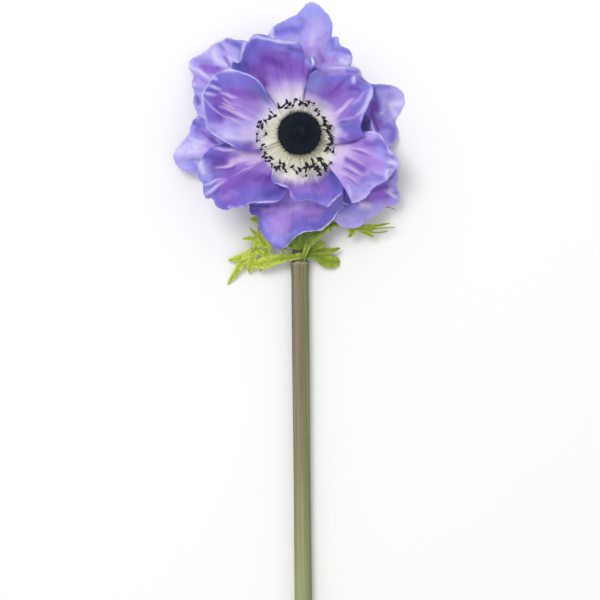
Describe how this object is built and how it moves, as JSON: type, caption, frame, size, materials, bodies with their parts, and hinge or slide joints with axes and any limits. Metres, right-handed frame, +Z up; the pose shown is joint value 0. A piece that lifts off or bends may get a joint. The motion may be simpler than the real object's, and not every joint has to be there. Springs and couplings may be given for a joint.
{
  "type": "anemone flower",
  "caption": "Cut poppy anemone lying on its back: layered blue-violet petals round a dark domed centre with a ring of stamens, cut green bracts and a long bare stem.",
  "frame": {"origin": "middle of the footprint, on the surface that the flower lies on", "axes": "+Y along the stem from its cut end to the bloom, +Z up from the surface, the way the bloom faces, +X across the bloom"},
  "size_m": [0.0924, 0.3006, 0.0308],
  "materials": {
    "stem": "satin",
    "bract": "matte",
    "petal_outer": "matte",
    "petal_inner": "matte",
    "stamen": "matte",
    "carpel": "matte"
  },
  "bodies": {
    "root": {"stem": "stem", "bract_left": "bract", "bract_right": "bract", "bract_front": "bract", "petal_outer_top": "petal_outer", "petal_outer_right_upper": "petal_outer", "petal_outer_right_lower": "petal_outer", "petal_outer_bottom": "petal_outer", "petal_outer_left": "petal_outer", "petal_outer_left_upper": "petal_outer", "petal_inner_top": "petal_inner", "petal_inner_right_upper": "petal_inner", "petal_inner_right_lower": "petal_inner", "petal_inner_bottom": "petal_inner", "petal_inner_left_lower": "petal_inner", "petal_inner_left_upper": "petal_inner", "stamens": "stamen", "carpel_head": "carpel"}
  },
  "joints": []
}
